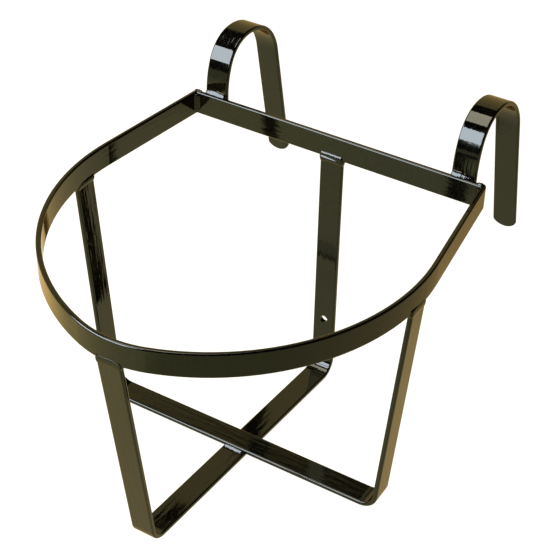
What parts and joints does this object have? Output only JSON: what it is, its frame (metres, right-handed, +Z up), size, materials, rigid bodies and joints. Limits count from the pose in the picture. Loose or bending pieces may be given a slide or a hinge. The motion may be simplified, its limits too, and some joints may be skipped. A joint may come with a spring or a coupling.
{
  "type": "hook-over bucket holder",
  "caption": "Welded flat-bar bucket holder: a horseshoe ring with a cradle of crossed straps, and hooks that hang it over a rail or a stable door.",
  "frame": {"origin": "midway between the hooks, under their crowns, where the top of the rail bears", "axes": "+Z up, +X along the back bar to the viewer's right when facing the ring from the front, +Y back towards the rail"},
  "size_m": [0.3622, 0.5011, 0.3529],
  "materials": {
    "black_enamel": "gloss black enamel over steel flat bar"
  },
  "bodies": {
    "root": {"hoop": "black_enamel", "back_bar": "black_enamel", "left_hook": "black_enamel", "right_hook": "black_enamel", "side_strap": "black_enamel", "centre_strap": "black_enamel", "left_hook_weld": "black_enamel", "left_hook_lower_weld": "black_enamel", "left_corner_weld": "black_enamel", "left_corner_top_bead": "black_enamel", "left_strap_weld": "black_enamel", "right_hook_weld": "black_enamel", "right_hook_lower_weld": "black_enamel", "right_corner_weld": "black_enamel", "right_corner_top_bead": "black_enamel", "right_strap_weld": "black_enamel", "front_strap_weld": "black_enamel", "back_strap_weld": "black_enamel", "front_cross_weld": "black_enamel", "rear_cross_weld": "black_enamel"}
  },
  "joints": []
}
